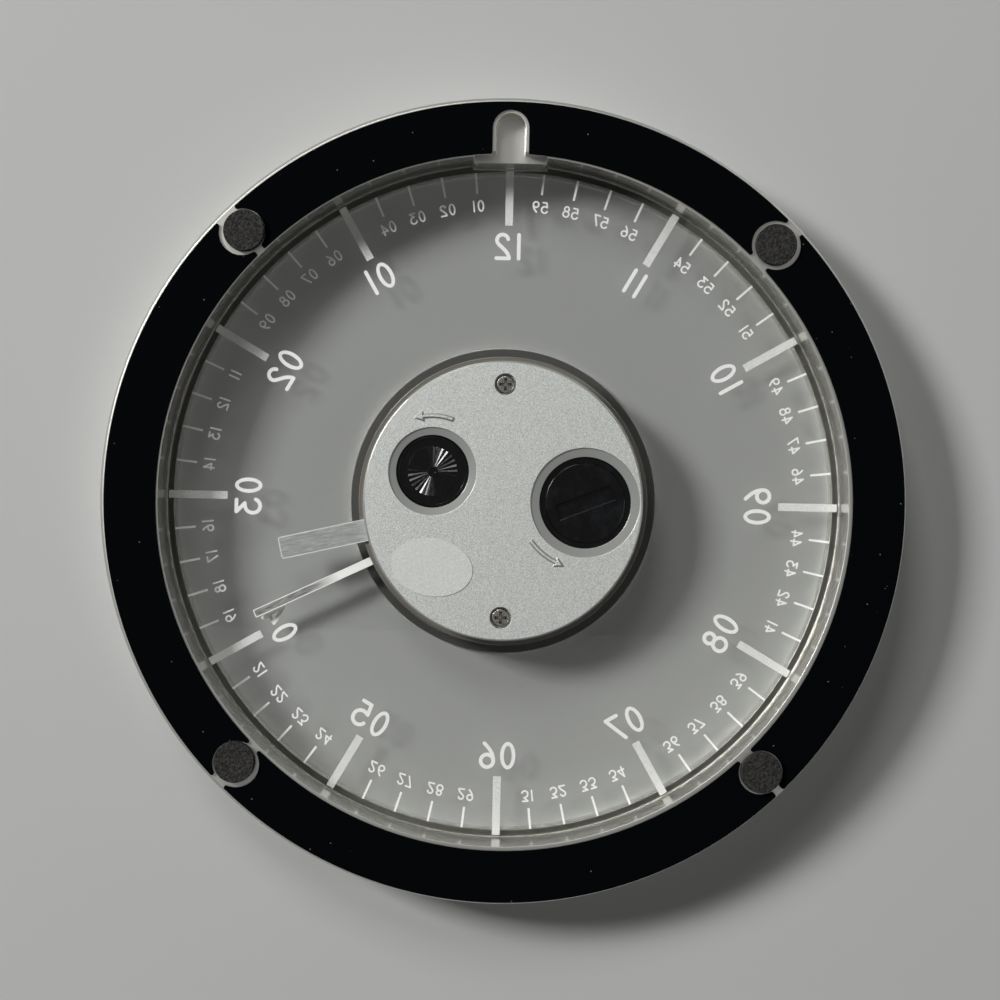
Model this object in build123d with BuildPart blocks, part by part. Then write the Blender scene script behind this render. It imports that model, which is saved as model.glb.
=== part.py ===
from build123d import *
import math
import os

# A mystery clock: a metal ring holds a clear dial, and the hands ride on two toothed rings that turn
# round a small sealed housing in the middle of the dial, so that nothing seems to drive them.
# Millimetres. The dial faces -Y, twelve o'clock is +Z and three o'clock is +X. The origin is on the
# dial's axis, midway through the clock's thickness.

# Driving dimensions of the ring
ring_outer_r = 63.0
ring_width = 9.0
ring_depth = 10.0
ring_edge_break = 0.45
lip_width = 1.05
lip_depth = 2.0

# Feet and the sheet on the ring's back
foot_r = 3.2
foot_height = 1.2
foot_angles = (45.0, 135.6, 225.2, 314.6)
foot_pitch_share = 0.52
foot_edge_share = 0.12
backing_thickness = 0.4
backing_outer_margin = 0.53
backing_inner_margin = 0.45
backing_shift = 0.18
backing_cutout_clearance = 0.5
cutout_clearance_shares = (0.96, 1.3, 0.5, 0.96)
cutout_shift = 0.5
cutout_shift_shares = ((0.8, -0.24), (-0.2, 0), (0, -0.2), (-0.28, -0.76))
backing_neck = 1.4
backing_slot_clearance = 0.55
backing_corner_r = 0.3

# Hanging slot and dial key at twelve o'clock
slot_width = 4.6
slot_depth = 2.4
slot_wall_share = 0.27
key_width = 11.5
key_height = 0.8
key_relief = 0.55

# Dial
flange_thickness = 1.0
flange_clearance = 0.2
boss_clearance = 0.45
boss_thickness = 1.0
dial_hole_clearance = 0.2
front_disc_overlap = 4.9
disc_edge_break = 0.3

# Marks and numerals on the back of the dial
mark_thickness = 0.1
mark_edge_margin = 0.2
hour_mark_length = 9.4
hour_mark_width = 1.25
minute_mark_inset = 0.8
minute_mark_length = 3.3
minute_mark_width = 0.35
hour_numeral_height = 4.4
hour_numeral_gap = 1.15
minute_numeral_height = 1.9
minute_numeral_gap = 1.05

# Hands and the two toothed rings that carry them
hand_thickness = 0.4
hour_hand_width = 3.5
hour_hand_reach_share = 0.425
hour_hand_angle = -13.2
minute_hand_width = 1.3
minute_hand_reach_share = 0.665
minute_hand_angle = -25.7
hand_seat = 1.7
ring_gear_thickness = 0.8
ring_gear_rim = 2.3
ring_gear_edge = 0.12
ring_gear_gap = 0.3
hand_gap = 0.9

# Teeth
hand_module = 0.5
ring_teeth = 80
hand_pinion_teeth = 32
motor_pinion_teeth = 8
train_module_share = 0.5
train_pinion_teeth = 12
transfer_teeth = 36
hour_wheel_teeth = 48
motor_module_share = 0.4
motor_wheel_teeth = 54
rotor_teeth = 6
pressure_angle = 20.0
tooth_addendum_share = 0.9
tooth_dedendum_share = 1.28
ring_addendum_share = 1.08
backlash_share = 0.12
ring_root_share = 1.2
run_clearance = 0.06
train_face = 0.35
motor_face = 0.5
level_gap = 0.1

# Places of the arbors, as angles on the dial and along the train
set_angle = 21.6
hour_wheel_angle = -38.0
motor_wheel_angle = 200.0
rotor_angle = 215.0

# Arbors
arbor_r = 0.5
hub_r = 0.95
stud_r = 0.4
pivot_clearance = 0.05
set_arbor_r = 1.1

# Housing
housing_wall = 0.8
floor_thickness = 0.6
bridge_thickness = 0.4
cap_plate = 1.2
cap_inset_r = 0.9
skirt_wall = 1.0
skirt_gap = 0.3
cap_gap = 0.4
cap_edge_break = 0.35
dish_step = 0.15
dish_depth = 0.4
gear_pocket_clearance = 0.25

# Setting knob
knob_r = 5.6
knob_clearance = 0.12
knob_dish_width = 1.2
knob_sink = 0.2
knob_thickness = 0.6
knob_rim_width = 0.4
knob_rim_edge_share = 0.45
knob_rib_r = 3.9
knob_rib_height = 0.18
knob_rib_share = 0.85
knob_ribs = 28
knob_boss_r = 0.85
knob_boss_hole_share = 0.55

# Battery: cell, well, contacts, door and seal
cell_r = 5.8
cell_height = 5.4
cell_gap = 0.1
cell_step = 0.5
well_clearance = 0.2
well_wall = 0.6
well_to_rim = 0.5
contact_thickness = 0.15
contact_height = 0.5
contact_length = 8.0
contact_width = 2.0
side_contact_share = 0.7
seal_height = 0.3
seal_width = 0.5
door_flange_overlap = 0.5
door_flange_thickness = 0.5
door_step = 0.8
door_thickness = 1.0
door_edge_break = 0.25
door_clearance = 0.1
door_dish_width = 1.4
door_slot_length = 9.0
door_slot_width = 2.3
door_slot_depth = 0.6
door_slot_angle = -21.4
door_slot_break = 0.12

# Screws that hold the cap
screw_pitch_r = 18.3
screw_head_r = 1.4
screw_head_height = 0.6
screw_head_edge = 0.25
screw_sink = 0.3
screw_recess_clearance = 0.3
screw_shank_r = 0.7
screw_hole_clearance = 0.05
screw_boss_wall = 0.8
screw_engagement = 3.2
cross_width = 0.42
cross_share = 0.68

# Motor: rotor, stator, coil and circuit board
rotor_r = 1.5
rotor_length = 1.6
stator_bore_gap = 0.4
stator_ring_width = 1.3
stator_thickness = 0.6
stator_arm_width = 1.6
coil_r = 1.7
coil_length = 7.4
coil_core_r = 0.6
coil_arm_gap = 0.2
coil_flange_thickness = 0.4
coil_x_share = 0.40
coil_z_share = 0.59
board_length = 13.0
board_height = 6.4
board_thickness = 0.6
board_x_share = 0.09
board_z_share = 0.66
chip_r = 1.5
chip_height = 0.6
crystal_r = 0.95
crystal_length = 6.0

# Oval film on the cap
film_length = 12.8
film_height = 9.0
film_thickness = 0.1
film_x_share = 0.496
film_z_share = -0.484
film_turn = 8.0

# Turn arrows raised on the cap
arrow_height = 0.25
arrow_width = 0.8
arrow_flank_angle = 45.0
arrow_head_length = 1.7
arrow_head_width = 1.8
arrow_gap = 1.8
knob_arrow_start = 111.6
knob_arrow_sweep = -31.5
door_arrow_start = -35.4
door_arrow_sweep = -28.7

# Depths, measured from the wall towards the front of the clock
ring_back = foot_height
ring_front = ring_back + ring_depth
flange_seat = ring_front - lip_depth
dial_back = flange_seat - flange_thickness
dial_front = flange_seat + boss_thickness
marks_back = dial_back - mark_thickness
minute_gear_back = dial_back - ring_gear_gap - ring_gear_thickness
minute_hand_back = minute_gear_back - hand_thickness
hour_gear_back = minute_hand_back - hand_gap - ring_gear_thickness
hour_hand_back = hour_gear_back - hand_thickness
skirt_front = hour_hand_back - skirt_gap
transfer_pinion_back = hour_gear_back - level_gap - train_face
transfer_wheel_back = transfer_pinion_back - level_gap - train_face
bridge_front = transfer_wheel_back - level_gap
bridge_back = bridge_front - bridge_thickness
cap_under = bridge_back - cap_gap
cap_back = cap_under - cap_plate
cup_front = dial_front
cup_floor = cup_front - floor_thickness
cell_front = cup_floor - contact_height
cell_back = cell_front - cell_height
door_under = cell_back - cell_gap
door_back = door_under - door_thickness
well_rim = door_under + seal_height
motor_wheel_back = minute_gear_back + ring_gear_thickness + level_gap
knob_back = cap_back + dish_depth + knob_sink + knob_rib_height
knob_under = knob_back + knob_thickness

# Radii and modules
train_module = hand_module * train_module_share
motor_module = hand_module * motor_module_share
ring_bore_r = ring_outer_r - ring_width
lip_r = ring_bore_r - lip_width
ring_pitch_r = hand_module * ring_teeth / 2
ring_tip_r = ring_pitch_r - hand_module * ring_addendum_share
ring_root_r = ring_pitch_r + hand_module * ring_root_share
hand_ring_r = ring_root_r + ring_gear_rim
neck_r = ring_tip_r - run_clearance
cup_inner_r = neck_r - housing_wall
cap_r = hand_ring_r - cap_inset_r
dial_hole_r = neck_r + dial_hole_clearance
front_disc_r = dial_hole_r + front_disc_overlap
flange_r = ring_bore_r - flange_clearance
boss_r = lip_r - boss_clearance
well_r = cell_r + well_clearance
well_outer_r = well_r + well_wall
door_flange_r = well_outer_r + door_flange_overlap
door_r = door_flange_r - door_step
door_hole_r = door_flange_r + door_clearance
key_inner_r = ring_bore_r - key_height
overrun = ring_depth


def layer(depth):
    """A plane across the dial's axis: its local x is +X, its local y is +Z, and it faces the front."""
    return Plane.XZ.offset(depth - ring_front / 2)


def polar(radius, angle):
    return (radius * math.cos(math.radians(angle)), radius * math.sin(math.radians(angle)))


def offset_from(point, radius, angle):
    dx, dy = polar(radius, angle)
    return (point[0] + dx, point[1] + dy)


# Places across the dial
pinion_pitch_r = hand_module * hand_pinion_teeth / 2
set_place = polar(ring_pitch_r - pinion_pitch_r, set_angle)
hour_wheel_place = polar(ring_pitch_r - pinion_pitch_r, hour_wheel_angle)
set_to_transfer = train_module * (train_pinion_teeth + transfer_teeth) / 2
transfer_to_hour = train_module * (train_pinion_teeth + hour_wheel_teeth) / 2
set_to_motor = hand_module * (hand_pinion_teeth + motor_pinion_teeth) / 2
motor_to_rotor = motor_module * (motor_wheel_teeth + rotor_teeth) / 2
motor_place = offset_from(set_place, set_to_motor, motor_wheel_angle)
rotor_place = offset_from(motor_place, motor_to_rotor, rotor_angle)
set_to_hour_angle = math.degrees(
    math.atan2(hour_wheel_place[1] - set_place[1], hour_wheel_place[0] - set_place[0])
)
set_to_hour = math.dist(set_place, hour_wheel_place)
transfer_bend = math.degrees(
    math.acos(
        (set_to_transfer**2 + set_to_hour**2 - transfer_to_hour**2)
        / (2 * set_to_transfer * set_to_hour)
    )
)
transfer_angle = set_to_hour_angle - transfer_bend
transfer_place = offset_from(set_place, set_to_transfer, transfer_angle)
hour_angle = math.degrees(
    math.atan2(
        hour_wheel_place[1] - transfer_place[1], hour_wheel_place[0] - transfer_place[0]
    )
)
battery_place = (-(neck_r - well_to_rim - well_r), 0)
screw_places = [(0, screw_pitch_r), (0, -screw_pitch_r)]


def meshing_phase(direction, teeth_a, phase_a, teeth_b):
    """Angle of a tooth of gear b that interleaves with gear a, which lies the other way along direction."""
    pitch = 360 / teeth_a
    lead = (phase_a - direction + pitch / 2) % pitch - pitch / 2
    return direction + 180 - lead * teeth_a / teeth_b + 180 / teeth_b


# Angles at which each gear has a tooth, so that the whole train is in mesh at rest
set_phase = set_angle
motor_pinion_phase = meshing_phase(
    motor_wheel_angle, hand_pinion_teeth, set_phase, motor_pinion_teeth
)
rotor_phase = meshing_phase(rotor_angle, motor_wheel_teeth, 0, rotor_teeth)
transfer_phase = meshing_phase(transfer_angle, train_pinion_teeth, set_phase, transfer_teeth)
hour_wheel_phase = meshing_phase(hour_angle, train_pinion_teeth, 0, hour_wheel_teeth)


def involute(angle):
    return math.tan(angle) - angle


def tooth_half_angle(teeth, module, radius):
    """Half the angle that an involute tooth takes up at a radius, with the backlash taken off."""
    pitch_r = module * teeth / 2
    flank = math.radians(pressure_angle)
    base_r = pitch_r * math.cos(flank)
    half = math.pi / (2 * teeth) - backlash_share * module / pitch_r
    here = math.acos(min(1.0, base_r / max(radius, base_r)))
    return half + involute(flank) - involute(here)


def gear_outline(place, teeth, module, phase):
    """Corner points of an external gear: root, pitch and tip points on both flanks of each tooth."""
    pitch_r = module * teeth / 2
    tip_r = pitch_r + module * tooth_addendum_share
    root_r = pitch_r - module * tooth_dedendum_share
    flank_radii = [root_r, (root_r + pitch_r) / 2, pitch_r, (pitch_r + tip_r) / 2, tip_r]
    halves = [math.degrees(tooth_half_angle(teeth, module, radius)) for radius in flank_radii]
    points = []
    for tooth in range(teeth):
        centre = phase + 360 * tooth / teeth
        rising = [(radius, centre - half) for radius, half in zip(flank_radii, halves)]
        falling = [(radius, centre + half) for radius, half in zip(flank_radii, halves)]
        for radius, angle in rising + falling[::-1]:
            points.append(offset_from(place, radius, angle))
    return points


def ring_outline(gap_angle):
    """Corner points of the toothed bore of a hand ring, with a tooth gap at gap_angle."""
    flank = math.tan(math.radians(pressure_angle))
    half_width = math.pi * hand_module / 4 - backlash_share * hand_module
    points = []
    for tooth in range(ring_teeth):
        centre = math.radians(gap_angle) + 2 * math.pi * (tooth + 1 / 2) / ring_teeth
        for radius, side in ((ring_root_r, -1), (ring_tip_r, -1), (ring_tip_r, 1), (ring_root_r, 1)):
            half = (half_width + (radius - ring_pitch_r) * flank) / ring_pitch_r
            angle = centre + side * half
            points.append((radius * math.cos(angle), radius * math.sin(angle)))
    return points


def cut_places(places, radius, depth, amount):
    """Round holes through the current part, from one depth towards the front."""
    with BuildSketch(layer(depth)) as holes:
        with Locations(*places):
            Circle(radius)
    extrude(holes.sketch, amount=amount, mode=Mode.SUBTRACT)


def disc(place, radius, depth, amount):
    """A round boss added to the current part, from one depth towards the front."""
    with BuildSketch(layer(depth)) as outline:
        with Locations(place):
            Circle(radius)
    extrude(outline.sketch, amount=amount)


def wheel(place, teeth, module, phase, depth, amount):
    """A toothed wheel added to the current part."""
    with BuildSketch(layer(depth)) as outline:
        with BuildLine():
            Polyline(*gear_outline(place, teeth, module, phase), close=True)
        make_face()
    extrude(outline.sketch, amount=amount)


# Metal ring, with a lip at the front for the dial, the hanging slot and the key that turns the dial true
slot_end_r = ring_outer_r - ring_width * slot_wall_share - slot_width / 2
with BuildPart() as ring_body:
    with BuildSketch(layer(ring_back)):
        Circle(ring_outer_r)
        Circle(ring_bore_r, mode=Mode.SUBTRACT)
    extrude(amount=ring_depth)
    outer_edges = ring_body.edges().filter_by(GeomType.CIRCLE).sort_by(SortBy.RADIUS)[-2:]
    chamfer(outer_edges, length=ring_edge_break)
    with BuildSketch(layer(flange_seat)):
        Circle(ring_bore_r)
        Circle(lip_r, mode=Mode.SUBTRACT)
    extrude(amount=lip_depth)
    with BuildSketch(layer(ring_back + slot_depth)):
        with Locations((0, ring_bore_r - key_height)):
            Rectangle(key_width, key_height + ring_width / 2, align=(Align.CENTER, Align.MIN))
        Circle(lip_r, mode=Mode.SUBTRACT)
    extrude(amount=flange_seat - ring_back - slot_depth)
    with BuildSketch(layer(ring_back)):
        with Locations((0, 0)):
            Rectangle(slot_width, slot_end_r, align=(Align.CENTER, Align.MIN))
            Rectangle(key_width, ring_bore_r + key_relief, align=(Align.CENTER, Align.MIN))
        with Locations((0, slot_end_r)):
            Circle(slot_width / 2)
    extrude(amount=slot_depth, mode=Mode.SUBTRACT)
ring_body.part.label = "ring_body"

# Flocked sheet on the ring's back, die-cut into four arcs that stop at the feet
backing_outer_r = ring_outer_r - backing_outer_margin
backing_inner_r = ring_bore_r + backing_inner_margin
foot_pitch_r = ring_outer_r - ring_width * foot_pitch_share
backing_names = ("backing_top", "backing_left", "backing_bottom", "backing_right")
backing_parts = []
for backing_name, start, end in zip(backing_names, foot_angles, foot_angles[1:] + foot_angles[:1]):
    with BuildPart() as backing:
        with BuildSketch(layer(ring_back - backing_thickness)):
            with Locations((-backing_shift, -backing_shift)):
                Circle(backing_outer_r)
                Circle(backing_inner_r, mode=Mode.SUBTRACT)
            with BuildLine():
                Polyline(
                    (0, 0),
                    polar(2 * ring_outer_r, start),
                    polar(2 * ring_outer_r, end),
                    close=True,
                )
            make_face(mode=Mode.INTERSECT)
            for angle, clearance_share, (x_share, z_share) in zip(
                foot_angles, cutout_clearance_shares, cutout_shift_shares
            ):
                foot_x, foot_z = polar(foot_pitch_r, angle)
                cutout = (foot_x + cutout_shift * x_share, foot_z + cutout_shift * z_share, 0)
                with Locations(Location(cutout, angle)):
                    Circle(foot_r + backing_cutout_clearance * clearance_share, mode=Mode.SUBTRACT)
                    Rectangle(2 * ring_width, backing_neck, mode=Mode.SUBTRACT)
            if backing_name == "backing_top":
                Rectangle(
                    slot_width + 2 * backing_slot_clearance,
                    slot_end_r,
                    align=(Align.CENTER, Align.MIN),
                    mode=Mode.SUBTRACT,
                )
                with Locations((0, slot_end_r)):
                    Circle(slot_width / 2 + backing_slot_clearance, mode=Mode.SUBTRACT)
            offset(amount=-backing_corner_r, mode=Mode.REPLACE)
            offset(amount=backing_corner_r, mode=Mode.REPLACE)
        extrude(amount=backing_thickness)
    backing.part.label = backing_name
    backing_parts.append(backing.part)

# Rubber feet stuck to the metal through the sheet's cut-outs
foot_parts = []
for number, angle in enumerate(foot_angles, start=1):
    with BuildPart() as foot:
        disc(polar(foot_pitch_r, angle), foot_r, 0, foot_height)
        top_edge = foot.edges().filter_by(GeomType.CIRCLE).sort_by(Axis.Y)[-1]
        fillet(top_edge, radius=foot_height * foot_edge_share)
    foot.part.label = f"foot_{number}"
    foot_parts.append(foot.part)

# Clear dial: a thin flange seated on the ring's lip, and a boss that fills the lip from inside
with BuildPart() as dial_plate:
    with BuildSketch(layer(dial_back)):
        Circle(flange_r)
        with Locations((0, key_inner_r - flange_clearance)):
            Rectangle(
                key_width + 2 * flange_clearance,
                ring_width,
                align=(Align.CENTER, Align.MIN),
                mode=Mode.SUBTRACT,
            )
    extrude(amount=flange_thickness)
    disc((0, 0), boss_r, flange_seat, boss_thickness)
    cut_places([(0, 0)], dial_hole_r, dial_back - overrun, 2 * overrun)
dial_plate.part.label = "dial_plate"

# Hour and minute marks on the back of the dial
mark_outer_r = flange_r - mark_edge_margin
hour_mark_inner_r = mark_outer_r - hour_mark_length
with BuildPart() as hour_marks:
    with BuildSketch(layer(marks_back)):
        with PolarLocations(hour_mark_inner_r, 12):
            Rectangle(hour_mark_length, hour_mark_width, align=(Align.MIN, Align.CENTER))
        with Locations((0, key_inner_r - flange_clearance)):
            Rectangle(
                key_width + 2 * flange_clearance,
                ring_width,
                align=(Align.CENTER, Align.MIN),
                mode=Mode.SUBTRACT,
            )
    extrude(amount=mark_thickness)
hour_marks.part.label = "hour_marks"

minute_angles = [6 * minute for minute in range(60) if minute % 5]
minute_mark_inner_r = mark_outer_r - minute_mark_inset - minute_mark_length
minute_mark_mid_r = minute_mark_inner_r + minute_mark_length / 2
with BuildPart() as minute_marks:
    with BuildSketch(layer(marks_back)):
        with Locations(
            *[Location((*polar(minute_mark_mid_r, angle), 0), angle) for angle in minute_angles]
        ):
            Rectangle(minute_mark_length, minute_mark_width)
    extrude(amount=mark_thickness)
minute_marks.part.label = "minute_marks"

# Plain round-ended numerals. Points are shares of half a numeral's height, measured to the stroke's middle.
stroke_share = 0.27
side_gap_share = 0.225
one_side_gap_share = 0.335
digit_half_width_share = 0.49
bowl_r_share = 0.53
upper_bowl_share = 0.44


def stroke(width, half, *spans):
    """One round-ended stroke: each span is 2 points for a line, 3 for an arc or 4 for a curve."""
    for span in spans:
        points = [(x * half, y * half) for x, y in span]
        with BuildLine() as path:
            if len(points) == 2:
                Line(*points)
            elif len(points) == 3:
                ThreePointArc(*points)
            else:
                Bezier(*points)
        trace(path.line, line_width=width)
        with Locations(path.line @ 0, path.line @ 1):
            Circle(width / 2)


def make_digit(value, height):
    """A numeral drawn about its own centre, as a flat face."""
    width = height * stroke_share / 2
    half = (height - width) / 2
    side = digit_half_width_share
    low = bowl_r_share - 1
    high = 1 - upper_bowl_share
    stroke_shares = {
        1: [((0, -1), (0, 1))],
        2: [
            ((-0.46, 0.62), (0.02, 1), (side, 0.52)),
            ((side, 0.52), (side, 0.05), (-0.46, -0.2), (-0.56, -1)),
            ((-0.56, -1), (0.52, -1)),
        ],
        3: [
            ((-0.5, 1), (0.5, 1)),
            ((0.5, 1), (-0.22, 0.3)),
            ((-0.22, 0.3), (0.28, 0.32), (0.58, 0.02), (0.58, -0.4)),
            ((0.58, -0.4), (0.02, -1), (-0.55, -0.62)),
        ],
        4: [((0.24, -1), (0.24, 1)), ((0.24, 1), (-0.6, -0.42)), ((-0.6, -0.42), (0.6, -0.42))],
        5: [
            ((-0.34, 1), (0.42, 1)),
            ((-0.34, 1), (-0.48, 0.12)),
            ((-0.48, 0.12), (0.1, 0.42), (0.57, 0.1), (0.57, -0.38)),
            ((0.57, -0.38), (0, -1), (-0.55, -0.66)),
        ],
        6: [((0.24, 1), (-0.16, 0.62), (-bowl_r_share, 0.15), (-bowl_r_share, low))],
        7: [((-0.52, 1), (0.5, 1)), ((0.5, 1), (-0.38, -1))],
        8: [],
        9: [((-0.24, -1), (0.16, -0.62), (bowl_r_share, -0.15), (bowl_r_share, -low))],
    }
    bowl_shares = {
        6: [(low, bowl_r_share)],
        8: [(high, upper_bowl_share), (high - 1, 1 - upper_bowl_share)],
        9: [(-low, bowl_r_share)],
    }
    with BuildSketch() as digit:
        if value == 0:
            Ellipse(side * half + width / 2, half + width / 2)
            Ellipse(side * half - width / 2, half - width / 2, mode=Mode.SUBTRACT)
        for span in stroke_shares.get(value, []):
            stroke(width, half, span)
        for middle, radius in bowl_shares.get(value, []):
            with Locations((0, middle * half)):
                Circle(radius * half + width / 2)
        for middle, radius in bowl_shares.get(value, []):
            with Locations((0, middle * half)):
                Circle(radius * half - width / 2, mode=Mode.SUBTRACT)
    return digit.sketch


def number_places(number, radius, angle, height, tops_out):
    """Where each digit of a two-digit number goes: its value and its location on the dial's face."""
    half = height * (1 - stroke_share / 2) / 2
    line_width = height * stroke_share / 2
    turn = angle - 90 if tops_out else angle + 90
    digits = [number // 10, number % 10]
    advances = []
    for digit in digits:
        if digit == 1:
            advances.append(line_width + 2 * one_side_gap_share * half)
        else:
            advances.append(line_width + 2 * (digit_half_width_share + side_gap_share) * half)
    cursor = -sum(advances) / 2
    places = []
    for digit, advance in zip(digits, advances):
        along = polar(cursor + advance / 2, turn)
        centre = polar(radius, angle)
        places.append((digit, Location((centre[0] + along[0], centre[1] + along[1], 0), turn)))
        cursor += advance
    return places


def numerals(numbers, radius, height, inward_numbers):
    """Extrudes a ring of two-digit numbers into the current part. Numbers count sixtieths of a turn."""
    digits = {value: make_digit(value, height) for value in range(10)}
    faces = []
    for number, sixtieth in numbers:
        angle = 90 - 6 * sixtieth
        tops_out = number not in inward_numbers
        for value, location in number_places(number, radius, angle, height, tops_out):
            faces.extend(digits[value].moved(location).faces())
    with BuildSketch(layer(marks_back)) as outline:
        add(faces)
    extrude(outline.sketch, amount=mark_thickness)


hour_numeral_r = hour_mark_inner_r - hour_numeral_gap - hour_numeral_height / 2
minute_numeral_r = minute_mark_inner_r - minute_numeral_gap - minute_numeral_height / 2
with BuildPart() as hour_numerals:
    numerals(
        [(hour, 5 * hour) for hour in range(1, 13)],
        hour_numeral_r,
        hour_numeral_height,
        range(4, 9),
    )
hour_numerals.part.label = "hour_numerals"

with BuildPart() as minute_numerals:
    numerals(
        [(minute, minute) for minute in range(1, 60) if minute % 5],
        minute_numeral_r,
        minute_numeral_height,
        (),
    )
minute_numerals.part.label = "minute_numerals"


def hand_ring(gap_angle, depth):
    """Flat ring with teeth round its bore. The tips of its teeth run on the neck of the housing."""
    with BuildSketch(layer(depth)) as outline:
        Circle(hand_ring_r)
        with BuildLine():
            Polyline(*ring_outline(gap_angle), close=True)
        make_face(mode=Mode.SUBTRACT)
    extrude(outline.sketch, amount=ring_gear_thickness)


def hand_strip(angle, width, tip_r, depth):
    """Flat strip fixed on the back of its ring and reaching out over the dial."""
    root_r = hand_ring_r - hand_seat
    with BuildSketch(layer(depth)) as outline:
        with Locations(Location((*polar((root_r + tip_r) / 2, angle), 0), angle)):
            RectangleRounded(tip_r - root_r, width, width * hand_corner_share)
    extrude(outline.sketch, amount=hand_thickness)


hand_corner_share = 0.1
dial_reach = ring_bore_r - hand_ring_r
minute_hand_tip_r = hand_ring_r + dial_reach * minute_hand_reach_share
hour_hand_tip_r = hand_ring_r + dial_reach * hour_hand_reach_share
with BuildPart() as minute_ring:
    hand_ring(set_angle, minute_gear_back)
    rim_edges = minute_ring.edges().filter_by(GeomType.CIRCLE).sort_by(SortBy.RADIUS)[-2:]
    fillet(rim_edges, radius=ring_gear_edge)
minute_ring.part.label = "minute_ring"

with BuildPart() as hour_ring:
    hand_ring(hour_wheel_angle, hour_gear_back)
    rim_edges = hour_ring.edges().filter_by(GeomType.CIRCLE).sort_by(SortBy.RADIUS)[-2:]
    fillet(rim_edges, radius=ring_gear_edge)
hour_ring.part.label = "hour_ring"

with BuildPart() as minute_hand:
    hand_strip(minute_hand_angle, minute_hand_width, minute_hand_tip_r, minute_hand_back)
minute_hand.part.label = "minute_hand"

with BuildPart() as hour_hand:
    hand_strip(hour_hand_angle, hour_hand_width, hour_hand_tip_r, hour_hand_back)
hour_hand.part.label = "hour_hand"

# Front disc, bonded to the dial and to the cup's floor, flush with the front of the ring
with BuildPart() as front_disc:
    disc((0, 0), front_disc_r, dial_front, ring_front - dial_front)
    front_edge = front_disc.edges().filter_by(GeomType.CIRCLE).sort_by(Axis.Y)[0]
    chamfer(front_edge, length=disc_edge_break)
front_disc.part.label = "front_disc"

# Housing cup: a round neck for the hand rings, a floor with pivot holes, a battery well and screw bosses
screw_boss_r = screw_shank_r + screw_boss_wall
pivot_hole_r = arbor_r + pivot_clearance
pinion_tip_r = pinion_pitch_r + hand_module * tooth_addendum_share
pocket_r = pinion_tip_r + gear_pocket_clearance
pivot_places = [hour_wheel_place, motor_place, rotor_place]
with BuildPart() as housing_cup:
    disc((0, 0), neck_r, bridge_front, cup_front - bridge_front)
    with BuildSketch(layer(bridge_front)):
        Circle(cup_inner_r)
        with Locations(*screw_places):
            Circle(screw_boss_r, mode=Mode.SUBTRACT)
        with Locations(battery_place):
            Circle(well_outer_r, mode=Mode.SUBTRACT)
    extrude(amount=cup_floor - bridge_front, mode=Mode.SUBTRACT)
    with BuildSketch(layer(well_rim)):
        Circle(neck_r)
        with Locations(battery_place):
            Circle(well_outer_r, mode=Mode.INTERSECT)
    extrude(amount=cup_floor - well_rim)
    cut_places([battery_place], well_r, well_rim, cup_floor - well_rim)
    for place, depth in ((set_place, minute_gear_back), (hour_wheel_place, hour_gear_back)):
        cut_places([place], pocket_r, depth - level_gap, ring_gear_thickness + 2 * level_gap)
    cut_places(
        screw_places,
        screw_shank_r + screw_hole_clearance,
        bridge_front,
        screw_engagement + level_gap,
    )
    cut_places(pivot_places, pivot_hole_r, cup_floor, floor_thickness / 2)
    cut_places([set_place], set_arbor_r + pivot_clearance, cup_floor, floor_thickness / 2)
housing_cup.part.label = "housing_cup"

# Bridge: the plate that carries the back pivots and the stud of the transfer wheel
with BuildPart() as bridge:
    disc((0, 0), neck_r, bridge_back, bridge_thickness)
    disc(transfer_place, stud_r, bridge_front, transfer_pinion_back + train_face - bridge_front)
    cut_places([battery_place], door_hole_r, bridge_back, bridge_thickness)
    cut_places([set_place], set_arbor_r + pivot_clearance, bridge_back, bridge_thickness)
    cut_places(pivot_places, pivot_hole_r, bridge_back, bridge_thickness)
    cut_places(
        screw_places, screw_shank_r + screw_hole_clearance, bridge_back, bridge_thickness
    )
bridge.part.label = "bridge"

# Back cap: plate with a skirt, dished round the knob and the battery door, with raised turn arrows
knob_hole_r = knob_r + knob_clearance
knob_dish_r = knob_hole_r + knob_dish_width
door_dish_r = door_hole_r + door_dish_width
screw_recess_r = screw_head_r + screw_recess_clearance
screw_head_back = cap_back + screw_sink
screw_head_front = screw_head_back + screw_head_height


def turn_arrow(centre, radius, start, sweep):
    """A raised curved arrow about a round control, with its head at the end of the sweep."""
    end = start + sweep
    lead = math.copysign(90, sweep)
    with BuildSketch(layer(cap_back)) as outline:
        with BuildLine():
            CenterArc(centre, radius, start, sweep)
        trace(line_width=arrow_width)
        with BuildLine():
            Polyline(
                offset_from(centre, radius + arrow_head_width / 2, end),
                offset_from(centre, radius - arrow_head_width / 2, end),
                offset_from(offset_from(centre, radius, end), arrow_head_length, end + lead),
                close=True,
            )
        make_face()
    extrude(outline.sketch, amount=-arrow_height, taper=arrow_flank_angle)


def cut_dish(place, outer_r, inner_r):
    """A countersunk dish in the cap: a small step down at its edge, then a slope to the hole."""
    side = Plane(
        origin=(place[0], ring_front / 2 - cap_back, place[1]), x_dir=(1, 0, 0), z_dir=(0, 0, 1)
    )
    with BuildSketch(side) as profile:
        with BuildLine():
            Polyline(
                (0, overrun),
                (outer_r, overrun),
                (outer_r, -dish_step),
                (inner_r, -dish_depth),
                (0, -dish_depth),
                close=True,
            )
        make_face()
    revolve(profile.sketch, axis=Axis((place[0], 0, place[1]), (0, 1, 0)), mode=Mode.SUBTRACT)


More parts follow.
